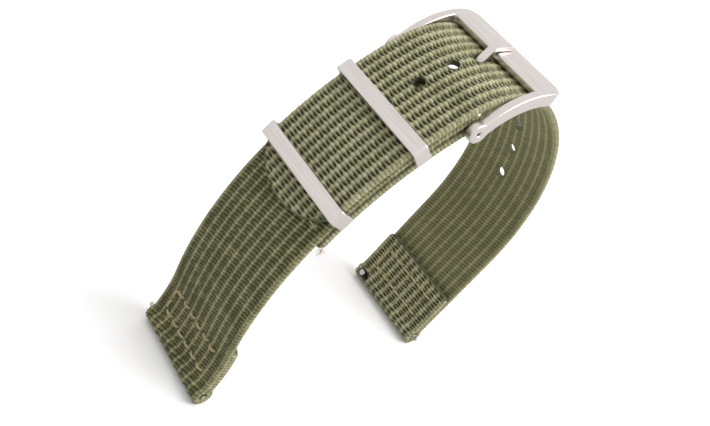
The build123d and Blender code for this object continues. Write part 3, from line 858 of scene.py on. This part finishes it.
# the metal, by its material slot; the buckle pin's tips within the ears wear near-black steel, painted
# shade
slotFinish = dict(satin_steel="satin", bar_steel="turned", spring_steel="drawn")
paintedShadeNodes = dict(buckle_pin_near_tip="paintedShade", buckle_pin_far_tip="paintedShade")
for part in frame["record"]["subparts"]:
    node, slotName = part["node"], part["material_slot"]
    if slotName in slotFinish:
        wear(frame["nodes"][node], slotName, steels[paintedShadeNodes.get(node, slotFinish[slotName])])

# softened edges on the buckle, its tongue and the keepers: voxel in millimetres and rounds of smoothing
softened = dict(buckle_frame=(0.15, 15), buckle_tongue=(0.07, 4),
                rear_keeper=(0.11, 11), front_keeper=(0.11, 11))
smoothing = 0.6
for node, (voxel, rounds) in softened.items():
    rebuilt = frame["nodes"][node].modifiers.new("rebuilt", "REMESH")
    rebuilt.mode = "VOXEL"
    rebuilt.voxel_size = voxel * mm
    rebuilt.use_smooth_shade = True
    rounded = frame["nodes"][node].modifiers.new("rounded", "SMOOTH")
    rounded.factor = smoothing
    rounded.iterations = rounds
print("pieces dressed")

# the table: white to the camera, and darker to the light that it sends back and to metal
black, white = (0.0, 0.0, 0.0, 1.0), (1.0, 1.0, 1.0, 1.0)
table = dict(
    reach=1.6, drop=0.00004, roughness=0.9, specular=0.1, seen=(0.96, 0.955, 0.96, 1.0),
    mirrored=(0.70, 0.69, 0.69, 1.0), bounced=(0.78, 0.78, 0.77, 1.0), glow=(0.10, 0.10, 0.10, 1.0),
)
corners = [(x * table["reach"], y * table["reach"], 0) for x, y in ((-1, -1), (1, -1), (1, 1), (-1, 1))]
floorMesh = bpy.data.meshes.new("floor")
floorMesh.from_pydata(corners, [], [(0, 1, 2, 3)])
floor = bpy.data.objects.new("floor", floorMesh)
floor.location.z = -table["drop"]
bpy.context.scene.collection.objects.link(floor)
floorPaint = Paint("floor")
rays = floorPaint.node("ShaderNodeLightPath")
toCamera = floorPaint.value(rays, "Is Camera Ray")
unseen = floorPaint.mix(floorPaint.value(rays, "Is Glossy Ray"), table["bounced"], table["mirrored"])
floorPaint.set(Base_Color=floorPaint.mix(toCamera, unseen, table["seen"]), Roughness=table["roughness"],
               Specular_IOR_Level=table["specular"], Emission_Strength=1.0,
               Emission_Color=floorPaint.mix(toCamera, black, table["glow"]))
floorMesh.materials.append(floorPaint.material)

# the room: white to the camera and to metal, and bright from one side for the cloth
sky = dict(top=(1.28, 1.28, 1.28, 1.0), side=(0.10, 0.10, 0.10, 1.0), towards=(0.42, 0.10, 0.90),
           low=0.0, high=0.9)
world = bpy.data.worlds.new("room")
world.use_nodes = True
bpy.context.scene.world = world
air = Nodes(world.node_tree)
air.tree.nodes.clear()
rays = air.node("ShaderNodeLightPath")
direction = air.node("ShaderNodeTexCoord").outputs["Generated"]
facing = air.node("ShaderNodeVectorMath", dict(operation="DOT_PRODUCT"), {0: direction, 1: sky["towards"]})
shade = air.mix(air.value(facing, "Value").ramp(sky["low"], sky["high"]), sky["side"], sky["top"])
shows = air.value(rays, "Is Camera Ray").atLeast(air.value(rays, "Is Glossy Ray"))
backdrop = air.node("ShaderNodeBackground", None, {"Color": air.mix(shows, shade, white), "Strength": 1.0})
air.node("ShaderNodeOutputWorld", None, {0: backdrop.outputs[0]})

# the one lamp, on the camera's side
keyLight = dict(place=(0.30, -0.42, 0.56), aim=(0.0, 0.0, 0.03), size=(0.50, 0.50), power=3.5)
lamp = bpy.data.lights.new("key", "AREA")
lamp.shape = "RECTANGLE"
lamp.size, lamp.size_y = keyLight["size"]
lamp.energy = keyLight["power"]
softbox = bpy.data.objects.new("key", lamp)
softbox.location = keyLight["place"]
aim = Vector(keyLight["aim"]) - Vector(keyLight["place"])
softbox.rotation_euler = aim.to_track_quat("-Z", "Y").to_euler()
bpy.context.scene.collection.objects.link(softbox)
print("light set")

# the camera: place in metres, and angles in degrees
view = dict(place=(-0.10620, -0.08006, 0.12688), azimuth=-51.79, elevation=35.50, roll=28.01,
            focus=42.505, sensor=36.0, nearest=0.005)
azimuth, elevation, roll = (math.radians(view[key]) for key in ("azimuth", "elevation", "roll"))
backward = Vector((math.sin(azimuth) * math.cos(elevation), -math.cos(azimuth) * math.cos(elevation),
                   math.sin(elevation)))
levelRight = (-backward).cross(Vector((0, 0, 1))).normalized()
levelUp = levelRight.cross(-backward)
right = levelRight * math.cos(roll) + levelUp * math.sin(roll)
up = levelUp * math.cos(roll) - levelRight * math.sin(roll)
lens = bpy.data.cameras.new("camera")
lens.sensor_width = view["sensor"]
lens.lens = view["focus"]
lens.clip_start = view["nearest"]
camera = bpy.data.objects.new("camera", lens)
camera.matrix_world = Matrix((right, up, backward)).transposed().to_4x4()
camera.location = view["place"]
bpy.context.scene.collection.objects.link(camera)
bpy.context.scene.camera = camera
bpy.context.scene.view_settings.view_transform = "Standard"
print("camera set")
